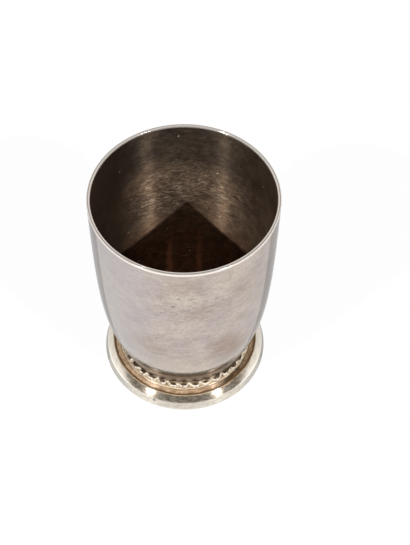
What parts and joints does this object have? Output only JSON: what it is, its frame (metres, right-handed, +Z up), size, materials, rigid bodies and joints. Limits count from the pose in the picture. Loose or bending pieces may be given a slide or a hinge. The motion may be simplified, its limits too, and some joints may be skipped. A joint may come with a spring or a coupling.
{
  "type": "kiddush cup",
  "caption": "Silver wine beaker for the kiddush blessing, with a tapered bowl on a low stepped foot and a crimped zigzag ribbon round the joint.",
  "frame": {"origin": "middle of the foot's underside, where the cup stands", "axes": "+Z up along the cup's axis; the cup is turned, so X and Y are free"},
  "size_m": [0.06, 0.06, 0.0813],
  "materials": {
    "polished_silver": "hand-polished sterling silver, clouded and finely scratched outside, brown tarnish inside",
    "tarnished_silver": "polished sterling silver on its edge and sloping band, golden-brown tarnish in the cove",
    "bright_ribbon_silver": "rubbed bright along the top edge, tarnished brown in the folds"
  },
  "bodies": {
    "root": {"bowl": "polished_silver", "foot": "tarnished_silver", "zigzag_band": "bright_ribbon_silver"}
  },
  "joints": []
}
